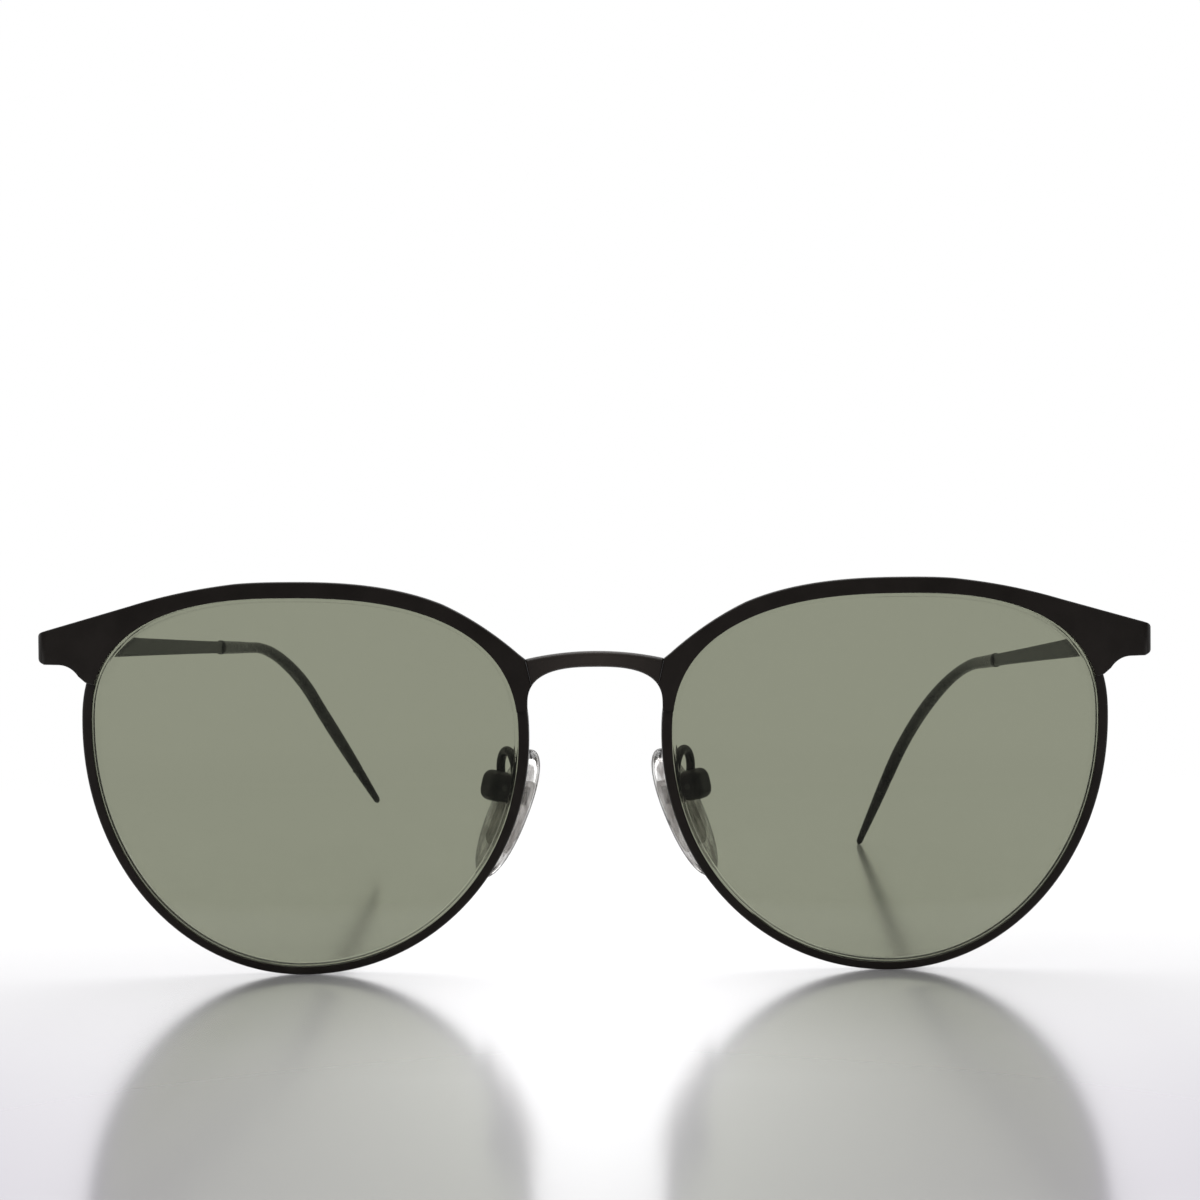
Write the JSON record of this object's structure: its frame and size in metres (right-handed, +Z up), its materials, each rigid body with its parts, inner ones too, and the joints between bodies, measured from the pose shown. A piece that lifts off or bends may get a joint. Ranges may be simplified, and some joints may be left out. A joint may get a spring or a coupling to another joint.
{
  "type": "sunglasses",
  "caption": "Round metal sunglasses with a flat black brow, wire rims, green-grey lenses, rocking nose pads and folding temples with bent tips.",
  "frame": {"origin": "middle of the bottom of the bounding box, on the surface the sunglasses stand on with their temples open", "axes": "+X is the wearer's left, +Y points back from the lenses to the temple tips, +Z is up; seen from the front, +X is on the right"},
  "size_m": [0.1386, 0.1373, 0.049],
  "materials": {
    "lacquer": "matte black lacquer",
    "lens": "clear green-grey tint",
    "screw": "plain steel",
    "arm": "satin black lacquer",
    "tip": "satin black",
    "insert": "clear",
    "pad": "clear silicone"
  },
  "bodies": {
    "front": {"bridge": "lacquer", "brow_left": "lacquer", "rim_left": "lacquer", "lens_left": "lens", "lock_upper_left": "lacquer", "lock_lower_left": "lacquer", "rim_screw_left": "screw", "front_hinge_left": "lacquer", "hinge_screw_left": "screw", "pad_arm_left": "arm", "pad_box_left": "arm", "pad_screw_left": "screw", "brow_right": "lacquer", "rim_right": "lacquer", "lens_right": "lens", "lock_upper_right": "lacquer", "lock_lower_right": "lacquer", "rim_screw_right": "screw", "front_hinge_right": "lacquer", "hinge_screw_right": "screw", "pad_arm_right": "arm", "pad_box_right": "arm", "pad_screw_right": "screw"},
    "left_temple": {"temple_left": "lacquer", "temple_hinge_left": "lacquer", "temple_tip_left": "tip"},
    "right_temple": {"temple_right": "lacquer", "temple_hinge_right": "lacquer", "temple_tip_right": "tip"},
    "left_pad": {"nose_pad_left": "pad", "pad_insert_left": "insert"},
    "right_pad": {"nose_pad_right": "pad", "pad_insert_right": "insert"}
  },
  "joints": [
    {"name": "left_temple_fold", "type": "hinge", "parent": "front", "child": "left_temple", "pos_m": [0.06695, -0.05835, 0.04108], "axis": [0, 0, 1], "range_deg": [-3.2, 83]},
    {"name": "right_temple_fold", "type": "hinge", "parent": "front", "child": "right_temple", "pos_m": [-0.06695, -0.05835, 0.04108], "axis": [0, 0, -1], "range_deg": [-6.4, 77]},
    {"name": "left_pad_rock", "type": "hinge", "parent": "front", "child": "left_pad", "pos_m": [0.0127, -0.05725, 0.02288], "axis": [0.5299, 0.8454, 0.0665], "range_deg": [-8, 8]},
    {"name": "right_pad_rock", "type": "hinge", "parent": "front", "child": "right_pad", "pos_m": [-0.0127, -0.05725, 0.02288], "axis": [-0.5299, 0.8454, 0.0665], "range_deg": [-8, 8]}
  ]
}
